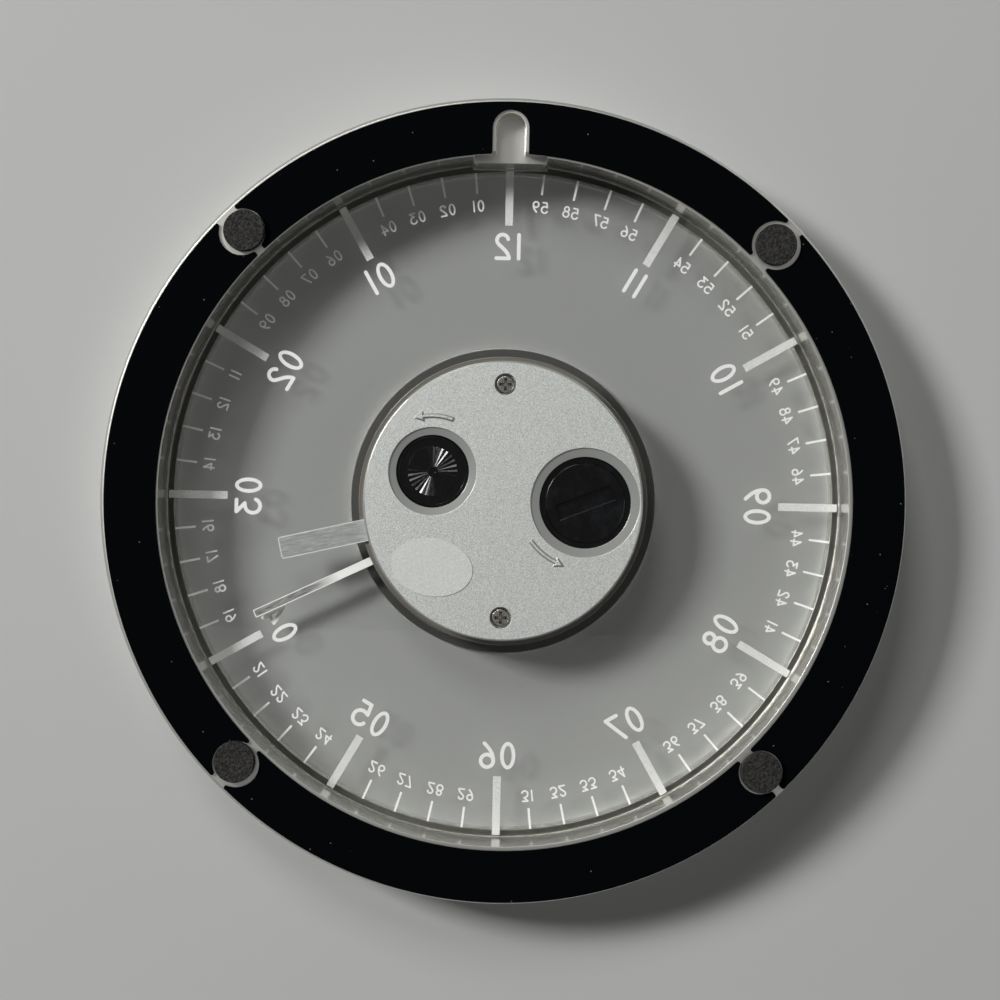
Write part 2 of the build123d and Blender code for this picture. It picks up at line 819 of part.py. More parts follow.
with BuildPart() as back_cap:
    disc((0, 0), cap_r, cap_back, skirt_front - cap_back)
    cap_edge = back_cap.edges().filter_by(GeomType.CIRCLE).sort_by(Axis.Y)[-1]
    fillet(cap_edge, radius=cap_edge_break)
    with BuildSketch(layer(cap_under)):
        Circle(cap_r - skirt_wall)
        with Locations(*screw_places):
            Circle(screw_boss_r, mode=Mode.SUBTRACT)
    extrude(amount=skirt_front - cap_under, mode=Mode.SUBTRACT)
    with BuildSketch(layer(bridge_back)):
        Circle(cap_r - skirt_wall)
    extrude(amount=skirt_front - bridge_back, mode=Mode.SUBTRACT)
    cut_dish(set_place, knob_dish_r, knob_hole_r)
    cut_dish(battery_place, door_dish_r, door_hole_r)
    cut_places([set_place], knob_hole_r, cap_back, cap_plate)
    cut_places([battery_place], door_hole_r, cap_back, cap_plate)
    cut_places(screw_places, screw_recess_r, cap_back, screw_sink + screw_head_height)
    cut_places(
        screw_places, screw_shank_r + screw_hole_clearance, cap_back, bridge_back - cap_back
    )
    turn_arrow(set_place, knob_dish_r + arrow_gap, knob_arrow_start, knob_arrow_sweep)
    turn_arrow(battery_place, door_dish_r + arrow_gap, door_arrow_start, door_arrow_sweep)
back_cap.part.label = "back_cap"

# Two cross-head screws through the cap and the bridge into the cup
with BuildPart() as cap_screws:
    for place in screw_places:
        disc(place, screw_head_r, screw_head_back, screw_head_height)
        disc(
            place,
            screw_shank_r,
            screw_head_front,
            bridge_front + screw_engagement - screw_head_front,
        )
    head_edges = cap_screws.edges().filter_by(GeomType.CIRCLE).group_by(Axis.Y)[-1]
    fillet(head_edges, radius=screw_head_edge)
    with BuildSketch(layer(screw_head_back)):
        with Locations(*screw_places):
            Rectangle(2 * screw_head_r * cross_share, cross_width)
            Rectangle(cross_width, 2 * screw_head_r * cross_share)
    extrude(amount=screw_head_height / 2, mode=Mode.SUBTRACT)
cap_screws.part.label = "cap_screws"

# Setting knob: a rim round a fan of ridges that widen outwards, pressed on the setting gear's arbor
knob_bore_depth = knob_thickness / 2
knob_top = knob_back - knob_rib_height
knob_boss_hole_r = knob_boss_r * knob_boss_hole_share
knob_rib_start_r = (knob_boss_r + knob_boss_hole_r) / 2
with BuildPart() as knob_rib:
    for radius in (knob_rib_start_r, knob_rib_r):
        half_width = radius * math.tan(math.pi / knob_ribs) * knob_rib_share
        height = knob_rib_height * radius / knob_rib_r
        with BuildSketch(Plane.YZ.offset(radius)):
            with BuildLine():
                Polyline((-half_width, 0), (0, -height), (half_width, 0), (0, height), close=True)
            make_face()
    loft(ruled=True)

with BuildPart(layer(knob_back)) as set_knob:
    disc(set_place, knob_r, knob_top, knob_thickness + knob_rib_height)
    knob_edge = set_knob.edges().filter_by(GeomType.CIRCLE).sort_by(Axis.Y)[-1]
    fillet(knob_edge, radius=knob_rim_width * knob_rim_edge_share)
    cut_places([set_place], knob_r - knob_rim_width, knob_top, knob_rib_height)
    with Locations(set_place):
        with PolarLocations(0, knob_ribs):
            add(knob_rib.part)
    disc(set_place, knob_boss_r, knob_top, knob_rib_height)
    cut_places([set_place], knob_boss_hole_r, knob_top, knob_rib_height)
    cut_places([set_place], set_arbor_r, knob_under - knob_bore_depth, knob_bore_depth)
set_knob.part.label = "set_knob"

# Setting gear: one arbor with the pinion that turns the minute ring and the one that starts the hour train
arbor_front = cup_floor + floor_thickness / 2 - level_gap / 2
arbor_back = bridge_back + level_gap / 2
with BuildPart() as set_gear:
    disc(
        set_place,
        set_arbor_r,
        knob_under - knob_bore_depth,
        arbor_front - knob_under + knob_bore_depth,
    )
    wheel(
        set_place,
        hand_pinion_teeth,
        hand_module,
        set_phase,
        minute_gear_back,
        ring_gear_thickness,
    )
    wheel(
        set_place,
        train_pinion_teeth,
        train_module,
        set_phase,
        transfer_wheel_back,
        train_face,
    )
set_gear.part.label = "set_gear"

# Transfer wheel, which turns on the bridge's stud
with BuildPart() as transfer_wheel:
    wheel(
        transfer_place,
        transfer_teeth,
        train_module,
        transfer_phase,
        transfer_wheel_back,
        train_face,
    )
    wheel(
        transfer_place,
        train_pinion_teeth,
        train_module,
        0,
        transfer_wheel_back,
        transfer_pinion_back + train_face - transfer_wheel_back,
    )
    cut_places(
        [transfer_place], stud_r + pivot_clearance, transfer_wheel_back - overrun, 2 * overrun
    )
transfer_wheel.part.label = "transfer_wheel"

# Hour wheel, which drives the hour ring
with BuildPart() as hour_wheel:
    disc(hour_wheel_place, arbor_r, arbor_back, arbor_front - arbor_back)
    disc(hour_wheel_place, hub_r, hour_gear_back, cup_floor - level_gap - hour_gear_back)
    wheel(
        hour_wheel_place,
        hour_wheel_teeth,
        train_module,
        hour_wheel_phase,
        transfer_pinion_back,
        train_face + level_gap,
    )
    wheel(
        hour_wheel_place,
        hand_pinion_teeth,
        hand_module,
        hour_wheel_angle,
        hour_gear_back,
        ring_gear_thickness,
    )
hour_wheel.part.label = "hour_wheel"

# Motor wheel: a large fine wheel driven by the rotor, with the pinion that turns the setting gear
with BuildPart() as motor_wheel:
    disc(motor_place, arbor_r, arbor_back, arbor_front - arbor_back)
    wheel(
        motor_place,
        motor_pinion_teeth,
        hand_module,
        motor_pinion_phase,
        minute_gear_back,
        ring_gear_thickness + level_gap,
    )
    wheel(motor_place, motor_wheel_teeth, motor_module, 0, motor_wheel_back, motor_face)
motor_wheel.part.label = "motor_wheel"

# Rotor: a round magnet on a thin arbor, with its pinion at the motor wheel
rotor_pivot_r = motor_module * rotor_teeth / 2 - motor_module * tooth_dedendum_share
rotor_back = motor_wheel_back - level_gap - rotor_length
with BuildPart() as rotor:
    disc(rotor_place, arbor_r, arbor_back, rotor_back - arbor_back)
    disc(rotor_place, rotor_r, rotor_back, rotor_length)
    disc(rotor_place, rotor_pivot_r, rotor_back, arbor_front - rotor_back)
    wheel(
        rotor_place,
        rotor_teeth,
        motor_module,
        rotor_phase,
        motor_wheel_back - level_gap,
        motor_face + level_gap,
    )
rotor.part.label = "rotor"

# Stator: soft-iron plate round the rotor, with two arms to the ends of the coil's core
coil_place = (-coil_x_share * neck_r, -coil_z_share * neck_r)
stator_bore_r = rotor_r + stator_bore_gap
stator_r = stator_bore_r + stator_ring_width
stator_back = rotor_back + rotor_length / 2 - stator_thickness
arm_reach = coil_length / 2 + coil_arm_gap + stator_arm_width / 2
arm_z = coil_place[1] + coil_r + coil_arm_gap + stator_arm_width / 2
right_arm = [(coil_place[0] + arm_reach, z) for z in (rotor_place[1], coil_place[1])]
left_arm = [rotor_place, (coil_place[0], arm_z), (coil_place[0] - arm_reach, arm_z)]
left_arm.append((coil_place[0] - arm_reach, coil_place[1]))
with BuildPart() as stator:
    with BuildSketch(layer(stator_back)):
        with Locations(rotor_place):
            Circle(stator_r)
        with BuildLine():
            Polyline(*right_arm)
        trace(line_width=stator_arm_width)
        with BuildLine():
            Polyline(*left_arm)
        trace(line_width=stator_arm_width)
        with Locations(right_arm[1], *left_arm[1:]):
            Circle(stator_arm_width / 2)
    extrude(amount=stator_thickness)
    cut_places([rotor_place], stator_bore_r, stator_back, stator_thickness)
stator.part.label = "stator"

# Coil: core, end-flanged bobbin and winding, lying across the lower left of the cup
core_reach = arm_reach + stator_arm_width / 2
coil_axis_depth = stator_back + stator_thickness + coil_core_r
coil_plane = Plane(
    origin=(coil_place[0] - coil_length / 2, ring_front / 2 - coil_axis_depth, coil_place[1]),
    x_dir=(0, 1, 0),
    z_dir=(1, 0, 0),
)
with BuildPart() as coil_core:
    with BuildSketch(coil_plane.offset(coil_length / 2 - core_reach)):
        Circle(coil_core_r)
    extrude(amount=2 * core_reach)
coil_core.part.label = "coil_core"

with BuildPart() as coil_bobbin:
    for start in (0, coil_length - coil_flange_thickness):
        with BuildSketch(coil_plane.offset(start)):
            Circle(coil_r)
            Circle(coil_core_r, mode=Mode.SUBTRACT)
        extrude(amount=coil_flange_thickness)
    with BuildSketch(coil_plane.offset(coil_flange_thickness)):
        Circle(coil_core_r + coil_flange_thickness)
        Circle(coil_core_r, mode=Mode.SUBTRACT)
    extrude(amount=coil_length - 2 * coil_flange_thickness)
coil_bobbin.part.label = "coil_bobbin"

with BuildPart() as coil_winding:
    with BuildSketch(coil_plane.offset(coil_flange_thickness)):
        Circle(coil_r - coil_flange_thickness / 2)
        Circle(coil_core_r + coil_flange_thickness, mode=Mode.SUBTRACT)
    extrude(amount=coil_length - 2 * coil_flange_thickness)
coil_winding.part.label = "coil_winding"

# Circuit board under the bridge, with the clock chip's blob and the crystal in its can
board_place = (-board_x_share * neck_r, board_z_share * neck_r)
board_front = bridge_front + board_thickness
with BuildPart() as circuit_board:
    with BuildSketch(layer(bridge_front)):
        with Locations(board_place):
            Rectangle(board_length, board_height)
    extrude(amount=board_thickness)
circuit_board.part.label = "circuit_board"

chip_place = (board_place[0] + board_length / 4, board_place[1])
with BuildPart() as clock_chip:
    disc(chip_place, chip_r, board_front, chip_height)
    chip_edge = clock_chip.edges().filter_by(GeomType.CIRCLE).sort_by(Axis.Y)[0]
    fillet(chip_edge, radius=chip_height / 2)
clock_chip.part.label = "clock_chip"

crystal_plane = Plane(
    origin=(
        board_place[0] - board_length / 4,
        ring_front / 2 - board_front - crystal_r,
        board_place[1] - crystal_length / 2,
    ),
    x_dir=(1, 0, 0),
    z_dir=(0, 0, 1),
)
with BuildPart() as quartz_crystal:
    with BuildSketch(crystal_plane):
        Circle(crystal_r)
    extrude(amount=crystal_length)
quartz_crystal.part.label = "quartz_crystal"

# Button cell: the positive can with the smaller negative cup at its front
with BuildPart() as battery_cell:
    disc(battery_place, cell_r, cell_back, cell_height - cell_step)
    disc(battery_place, cell_r - cell_step, cell_front - cell_step, cell_step)
    cell_edge = battery_cell.edges().filter_by(GeomType.CIRCLE).sort_by(Axis.Y)[-1]
    fillet(cell_edge, radius=cell_step / 2)
battery_cell.part.label = "battery_cell"

# Contacts: a sprung strip under the cell's negative face, and a strip up the well's side
tab_height = contact_height - contact_thickness
with BuildPart() as contact_minus:
    with BuildSketch(layer(cup_floor - contact_thickness)):
        with Locations(battery_place):
            Rectangle(contact_length, contact_width)
    extrude(amount=contact_thickness)
    with BuildSketch(layer(cup_floor - contact_height)):
        with Locations(battery_place):
            Rectangle(contact_width, contact_width)
    extrude(amount=tab_height)
contact_minus.part.label = "contact_minus"

with BuildPart() as contact_plus:
    with BuildSketch(layer(cell_back + cell_step)):
        with Locations(battery_place):
            Circle(well_r)
            Circle(well_r - well_clearance * side_contact_share, mode=Mode.SUBTRACT)
            Rectangle(
                well_r,
                contact_width,
                align=(Align.MIN, Align.CENTER),
                mode=Mode.INTERSECT,
            )
    extrude(amount=cell_height / 2)
contact_plus.part.label = "contact_plus"

# Battery door with a coin slot, and the seal it presses on the rim of the well
with BuildPart() as battery_door:
    disc(battery_place, door_r, door_back, door_thickness)
    door_edge = battery_door.edges().filter_by(GeomType.CIRCLE).sort_by(Axis.Y)[-1]
    fillet(door_edge, radius=door_edge_break)
    disc(
        battery_place,
        door_flange_r,
        door_under - door_flange_thickness,
        door_flange_thickness,
    )
    with BuildSketch(layer(door_back)):
        with Locations(Location((*battery_place, 0), door_slot_angle)):
            Rectangle(door_slot_length, door_slot_width)
    extrude(amount=door_slot_depth, mode=Mode.SUBTRACT)
    slot_edges = battery_door.edges().filter_by(GeomType.LINE).group_by(Axis.Y)[-1]
    chamfer(slot_edges, length=door_slot_break)
battery_door.part.label = "battery_door"

seal_mid_r = (well_r + well_outer_r) / 2
with BuildPart() as door_seal:
    with BuildSketch(layer(door_under)):
        with Locations(battery_place):
            Circle(seal_mid_r + seal_width / 2)
            Circle(seal_mid_r - seal_width / 2, mode=Mode.SUBTRACT)
    extrude(amount=seal_height)
door_seal.part.label = "door_seal"

# Blank oval film on the cap
film_place = (film_x_share * cap_r, film_z_share * cap_r)
with BuildPart() as cap_film:
    with BuildSketch(layer(cap_back - film_thickness)):
        with Locations(Location((*film_place, 0), film_turn)):
            Ellipse(film_length / 2, film_height / 2)
    extrude(amount=film_thickness)
cap_film.part.label = "cap_film"

pieces = [
    ring_body.part,
    *backing_parts,
    *foot_parts,
    dial_plate.part,
    hour_marks.part,
    minute_marks.part,
    hour_numerals.part,
    minute_numerals.part,
    minute_ring.part,
    hour_ring.part,
    minute_hand.part,
    hour_hand.part,
    front_disc.part,
    housing_cup.part,
    bridge.part,
    back_cap.part,
    cap_screws.part,
    set_knob.part,
    set_gear.part,
    transfer_wheel.part,
    hour_wheel.part,
    motor_wheel.part,
    rotor.part,
    stator.part,
    coil_core.part,
    coil_bobbin.part,
    coil_winding.part,
    circuit_board.part,
    clock_chip.part,
    quartz_crystal.part,
    battery_cell.part,
    contact_minus.part,
    contact_plus.part,
    battery_door.part,
    door_seal.part,
    cap_film.part,
]
os.makedirs("parts", exist_ok=True)
for piece in pieces:
    export_step(piece, f"parts/{piece.label}.step")
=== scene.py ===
import math

import bpy
from mathutils import Matrix, Vector


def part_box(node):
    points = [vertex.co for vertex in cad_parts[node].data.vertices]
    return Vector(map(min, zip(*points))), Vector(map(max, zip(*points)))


# The looks of a mystery clock, seen from the back as it lies on its face. Metres, in the frame of its
# solids: the dial faces -Y, twelve o'clock is +Z, and the back with the knob and the battery door is +Y.
MM = 0.001

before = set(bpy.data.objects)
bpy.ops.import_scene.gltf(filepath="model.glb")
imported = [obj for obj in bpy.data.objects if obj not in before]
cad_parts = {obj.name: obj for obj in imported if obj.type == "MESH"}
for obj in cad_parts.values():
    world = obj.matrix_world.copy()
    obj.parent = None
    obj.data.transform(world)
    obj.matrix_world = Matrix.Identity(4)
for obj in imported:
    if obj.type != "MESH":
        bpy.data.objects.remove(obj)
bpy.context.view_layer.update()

# Places read from the solids
ring_low, ring_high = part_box("ring_body")
wall_y = ring_low.y
ring_back_y = ring_high.y

# Camera: straight at the back, a little off the axis and rolled, as the photograph was taken
CAMERA_TO_RING_BACK = 245.0 * MM
FOCAL_LENGTH = 56.5
SENSOR_WIDTH = 36.0
CAMERA_ROLL = math.radians(1.25)
CAMERA_TO_LEFT = 0.47 * MM
CAMERA_UP = 0.16 * MM
CLIP_START = 10.0 * MM

# Rays that look for an edge or a corner
EDGE_SAMPLES = 6
CORNER_SAMPLES = 8


def linear(hex_colour):
    """An sRGB hex colour as linear RGBA."""
    values = [int(hex_colour[start : start + 2], 16) / 255 for start in (1, 3, 5)]
    return [v / 12.92 if v <= 0.04045 else ((v + 0.055) / 1.055) ** 2.4 for v in values] + [1.0]


def add(tree, kind, settings=None, links=None):
    """Adds a node. Settings are named as its sockets or as its own options, and links as its sockets."""
    node = tree.nodes.new(kind)
    for name, value in (settings or {}).items():
        if isinstance(name, int) or name in node.inputs:
            node.inputs[name].default_value = value
        else:
            setattr(node, name, value)
    for name, socket in (links or {}).items():
        tree.links.new(socket, node.inputs[name])
    return node


def finish_material(name, tree_builder):
    """A material whose surface is the shader that tree_builder makes in its node tree."""
    material = bpy.data.materials.new(name)
    material.use_nodes = True
    tree = material.node_tree
    tree.nodes.clear()
    shader = tree_builder(tree)
    add(tree, "ShaderNodeOutputMaterial", links={"Surface": shader})
    return material


# A mix of two colours takes its factor, first colour and second colour at these sockets
FACTOR, FIRST, SECOND, MIXED = 0, 6, 7, 2


def lathe_lines(tree, spacing):
    """Fine rings round the dial's axis, as a lathe or a polishing wheel leaves, from 0 to 1."""
    place = add(tree, "ShaderNodeTexCoord")
    parts = add(tree, "ShaderNodeSeparateXYZ", links={"Vector": place.outputs["Object"]})
    flat = add(tree, "ShaderNodeCombineXYZ", links={"X": parts.outputs["X"], "Y": parts.outputs["Z"]})
    radius = add(
        tree, "ShaderNodeVectorMath", {"operation": "LENGTH"}, {"Vector": flat.outputs["Vector"]}
    )
    rings = add(
        tree,
        "ShaderNodeCombineXYZ",
        links={"X": radius.outputs["Value"], "Y": parts.outputs["Y"]},
    )
    noise = add(
        tree,
        "ShaderNodeTexNoise",
        {"Scale": 1 / spacing, "Detail": 2.0},
        {"Vector": rings.outputs["Vector"]},
    )
    return noise.outputs["Fac"]


def nickelled_zinc(tree):
    """Die-cast zinc, turned and nickel plated: polished in the bore and satin on the flats, drawn out by
    fine lathe lines, with small pits that sparkle along its edges."""
    place = add(tree, "ShaderNodeTexCoord")
    facing = add(tree, "ShaderNodeSeparateXYZ", links={"Vector": place.outputs["Normal"]})
    lines = lathe_lines(tree, 0.12 * MM)
    pits = add(
        tree,
        "ShaderNodeTexNoise",
        {"Scale": 1 / (0.22 * MM), "Detail": 4.0},
        {"Vector": place.outputs["Object"]},
    )
    tone = add(
        tree,
        "ShaderNodeMix",
        {"data_type": "RGBA", FIRST: linear("#BDBCB6"), SECOND: linear("#D6D5CF")},
        {FACTOR: pits.outputs["Fac"]},
    )
    polish = add(tree, "ShaderNodeMapRange", {"To Min": 0.17, "To Max": 0.27}, {"Value": lines})
    satin = add(tree, "ShaderNodeMapRange", {"To Max": 0.2}, {"Value": facing.outputs["Y"]})
    rough = add(
        tree,
        "ShaderNodeMath",
        {"operation": "ADD"},
        {0: polish.outputs["Result"], 1: satin.outputs["Result"]},
    )
    soft_edge = add(tree, "ShaderNodeBevel", {"Radius": 0.2 * MM, "samples": EDGE_SAMPLES})
    grooves = add(
        tree,
        "ShaderNodeBump",
        {"Strength": 0.15, "Distance": 0.01 * MM},
        {"Height": lines, "Normal": soft_edge.outputs["Normal"]},
    )
    pitted = add(
        tree,
        "ShaderNodeBump",
        {"Strength": 0.15, "Distance": 0.02 * MM},
        {"Height": pits.outputs["Fac"], "Normal": grooves.outputs["Normal"]},
    )
    shader = add(
        tree,
        "ShaderNodeBsdfPrincipled",
        {"Metallic": 1.0},
        {
            "Base Color": tone.outputs[MIXED],
            "Roughness": rough.outputs["Value"],
            "Normal": pitted.outputs["Normal"],
        },
    )
    return shader.outputs["BSDF"]


def black_flock(tree):
    """Flocked self-adhesive sheet: short upright fibres that swallow light, with a faint blue sheen and a
    few pale specks of lint caught in them."""
    place = add(tree, "ShaderNodeTexCoord")
    fibres = add(
        tree,
        "ShaderNodeTexNoise",
        {"Scale": 1 / (0.16 * MM), "Detail": 4.0},
        {"Vector": place.outputs["Object"]},
    )
    nap = add(
        tree,
        "ShaderNodeMix",
        {"data_type": "RGBA", FIRST: linear("#020304"), SECOND: linear("#0B0D10")},
        {FACTOR: fibres.outputs["Fac"]},
    )
    # One speck to a cell of 2.4 mm, and only the few that lie near the middle of their cell show
    lint = add(
        tree,
        "ShaderNodeTexVoronoi",
        {"Scale": 1 / (2.4 * MM), "Randomness": 1.0},
        {"Vector": place.outputs["Object"]},
    )
    specks = add(
        tree,
        "ShaderNodeMapRange",
        {"From Min": 0.03, "From Max": 0.055, "To Min": 0.6, "To Max": 0.0},
        {"Value": lint.outputs["Distance"]},
    )
    tone = add(
        tree,
        "ShaderNodeMix",
        {"data_type": "RGBA", SECOND: linear("#7E8288")},
        {FACTOR: specks.outputs["Result"], FIRST: nap.outputs[MIXED]},
    )
    pile = add(
        tree,
        "ShaderNodeBump",
        {"Strength": 1.0, "Distance": 0.1 * MM},
        {"Height": fibres.outputs["Fac"]},
    )
    shader = add(
        tree,
        "ShaderNodeBsdfPrincipled",
        {
            "Roughness": 1.0,
            "Specular IOR Level": 0.0,
            "Sheen Weight": 0.01,
            "Sheen Roughness": 0.4,
            "Sheen Tint": linear("#7C8694"),
        },
        {"Base Color": tone.outputs[MIXED], "Normal": pile.outputs["Normal"]},
    )
    return shader.outputs["BSDF"]


def cellular_rubber(tree):
    """Die-cut cellular rubber: charcoal, with open pores that read as a fine dark fleck, and quite matt."""
    place = add(tree, "ShaderNodeTexCoord")
    pores = add(
        tree,
        "ShaderNodeTexNoise",
        {"Scale": 1 / (0.34 * MM), "Detail": 5.0},
        {"Vector": place.outputs["Object"]},
    )
    open_pores = add(
        tree,
        "ShaderNodeMapRange",
        {"From Min": 0.35, "From Max": 0.65},
        {"Value": pores.outputs["Fac"]},
    )
    tone = add(
        tree,
        "ShaderNodeMix",
        {"data_type": "RGBA", FIRST: linear("#181817"), SECOND: linear("#353432")},
        {FACTOR: open_pores.outputs["Result"]},
    )
    rough = add(
        tree,
        "ShaderNodeMapRange",
        {"To Min": 0.95, "To Max": 0.75},
        {"Value": open_pores.outputs["Result"]},
    )
    surface = add(
        tree,
        "ShaderNodeBump",
        {"Strength": 0.8, "Distance": 0.12 * MM},
        {"Height": open_pores.outputs["Result"]},
    )
    shader = add(
        tree,
        "ShaderNodeBsdfPrincipled",
        {"Specular IOR Level": 0.25},
        {
            "Base Color": tone.outputs[MIXED],
            "Roughness": rough.outputs["Result"],
            "Normal": surface.outputs["Normal"],
        },
    )
    return shader.outputs["BSDF"]


def cast_acrylic(tree):
    """Polished cast acrylic: clear, with a trace of warm grey. Light that falls through it, or comes back
    from what lies under it, is only dimmed a little."""
    place = add(tree, "ShaderNodeTexCoord")
    wipe_marks = add(
        tree,
        "ShaderNodeTexNoise",
        {"Scale": 1 / (9.0 * MM), "Detail": 6.0, "Roughness": 0.7},
        {"Vector": place.outputs["Object"]},
    )
    rough = add(
        tree,
        "ShaderNodeMapRange",
        {"From Min": 0.45, "From Max": 0.8, "To Min": 0.0, "To Max": 0.06},
        {"Value": wipe_marks.outputs["Fac"]},
    )
    glass = add(
        tree,
        "ShaderNodeBsdfPrincipled",
        {
            "Base Color": linear("#F1F2F0"),
            "IOR": 1.49,
            "Specular IOR Level": 0.25,
            "Transmission Weight": 1.0,
        },
        {"Roughness": rough.outputs["Result"]},
    )
    clear = add(tree, "ShaderNodeBsdfTransparent", {"Color": linear("#ECECEC")})
    path = add(tree, "ShaderNodeLightPath")
    passing = add(
        tree,
        "ShaderNodeMath",
        {"operation": "MAXIMUM"},
        {0: path.outputs["Is Shadow Ray"], 1: path.outputs["Is Diffuse Ray"]},
    )
    mix = add(
        tree,
        "ShaderNodeMixShader",
        links={0: passing.outputs["Value"], 1: glass.outputs["BSDF"], 2: clear.outputs["BSDF"]},
    )
    return mix.outputs["Shader"]


def printed_white(dark, light, mesh_pitch, thin):
    """Screen-printed white ink. Where it is laid thin, the mesh and the clear sheet under it show as grey
    flecks between dark and light. Three quarters of the light passes it, so its shadow is faint."""

    def build(tree):
        place = add(tree, "ShaderNodeTexCoord")
        mesh_dots = add(
            tree,
            "ShaderNodeTexNoise",
            {"Scale": 1 / mesh_pitch, "Detail": 3.0},
            {"Vector": place.outputs["Object"]},
        )
        cover = add(
            tree,
            "ShaderNodeMapRange",
            {"From Min": thin, "From Max": 0.65},
            {"Value": mesh_dots.outputs["Fac"]},
        )
        tone = add(
            tree,
            "ShaderNodeMix",
            {"data_type": "RGBA", FIRST: linear(dark), SECOND: linear(light)},
            {FACTOR: cover.outputs["Result"]},
        )
        surface = add(
            tree,
            "ShaderNodeBump",
            {"Strength": 0.5, "Distance": 0.01 * MM},
            {"Height": cover.outputs["Result"]},
        )
        shader = add(
            tree,
            "ShaderNodeBsdfPrincipled",
            {"Roughness": 0.55, "Specular IOR Level": 0.4},
            {"Base Color": tone.outputs[MIXED], "Normal": surface.outputs["Normal"]},
        )
        passed = add(tree, "ShaderNodeBsdfTransparent", {"Color": linear("#E2E2E2")})
        path = add(tree, "ShaderNodeLightPath")
        mix = add(
            tree,
            "ShaderNodeMixShader",
            links={
                0: path.outputs["Is Shadow Ray"],
                1: shader.outputs["BSDF"],
                2: passed.outputs["BSDF"],
            },
        )
        return mix.outputs["Shader"]

    return build


def silver_lacquer(tree):
    """Moulded ABS sprayed with silver lacquer. The flat face has a spark-eroded grain that glitters softly;
    the dishes round the knob and the door, the arrows' flanks and the edge are smooth, with a darker
    painted shade."""
    place = add(tree, "ShaderNodeTexCoord")
    facing = add(tree, "ShaderNodeSeparateXYZ", links={"Vector": place.outputs["Normal"]})
    face = add(
        tree,
        "ShaderNodeMapRange",
        {"From Min": 0.985, "From Max": 0.998},
        {"Value": facing.outputs["Y"]},
    )
    # The eroded grain is 0.05 mm in truth, and drawn at 0.14 mm so that it shows
    eroded = add(
        tree,
        "ShaderNodeTexNoise",
        {"Scale": 1 / (0.14 * MM), "Detail": 2.0, "Roughness": 0.6},
        {"Vector": place.outputs["Object"]},
    )
    flecks = add(
        tree,
        "ShaderNodeMapRange",
        {"From Min": 0.3, "From Max": 0.7},
        {"Value": eroded.outputs["Fac"]},
    )
    grained = add(
        tree,
        "ShaderNodeMix",
        {"data_type": "RGBA", FIRST: linear("#A2A4A1"), SECOND: linear("#E2E4E0")},
        {FACTOR: flecks.outputs["Result"]},
    )
    # Surfaces that tilt away from the back take the flat darker tone #9B9D99, which is painted shade
    tone = add(
        tree,
        "ShaderNodeMix",
        {"data_type": "RGBA", FIRST: linear("#9B9D99")},
        {FACTOR: face.outputs["Result"], SECOND: grained.outputs[MIXED]},
    )
    rough = add(
        tree,
        "ShaderNodeMapRange",
        {"To Min": 0.3, "To Max": 0.46},
        {"Value": face.outputs["Result"]},
    )
    soft_edge = add(tree, "ShaderNodeBevel", {"Radius": 0.15 * MM, "samples": EDGE_SAMPLES})
    surface = add(
        tree,
        "ShaderNodeBump",
        {"Distance": 0.02 * MM},
        {
            "Height": flecks.outputs["Result"],
            "Strength": face.outputs["Result"],
            "Normal": soft_edge.outputs["Normal"],
        },
    )
    shader = add(
        tree,
        "ShaderNodeBsdfPrincipled",
        {"Metallic": 0.4},
        {
            "Base Color": tone.outputs[MIXED],
            "Roughness": rough.outputs["Result"],
            "Normal": surface.outputs["Normal"],
        },
    )
    return shader.outputs["BSDF"]


def gloss_black_abs(tree):
    """Polished black ABS: deep black, with sharp highlights along its ribs and a few fine scuffs."""
    place = add(tree, "ShaderNodeTexCoord")
    scuffs = add(
        tree,
        "ShaderNodeTexNoise",
        {"Scale": 1 / (0.6 * MM), "Detail": 6.0},
        {"Vector": place.outputs["Object"]},
    )
    tone = add(
        tree,
        "ShaderNodeMix",
        {"data_type": "RGBA", FIRST: linear("#020202"), SECOND: linear("#0A0A0A")},
        {FACTOR: scuffs.outputs["Fac"]},
    )
    rough = add(
        tree,
        "ShaderNodeMapRange",
        {"From Min": 0.35, "From Max": 0.75, "To Min": 0.16, "To Max": 0.28},
        {"Value": scuffs.outputs["Fac"]},
    )
    soft_edge = add(tree, "ShaderNodeBevel", {"Radius": 0.07 * MM, "samples": EDGE_SAMPLES})
    surface = add(
        tree,
        "ShaderNodeBump",
        {"Strength": 0.4, "Distance": 0.005 * MM},
        {"Height": scuffs.outputs["Fac"], "Normal": soft_edge.outputs["Normal"]},
    )
    shader = add(
        tree,
        "ShaderNodeBsdfPrincipled",
        {"IOR": 1.53, "Specular IOR Level": 0.25},
        {
            "Base Color": tone.outputs[MIXED],
            "Roughness": rough.outputs["Result"],
            "Normal": surface.outputs["Normal"],
        },
    )
    return shader.outputs["BSDF"]


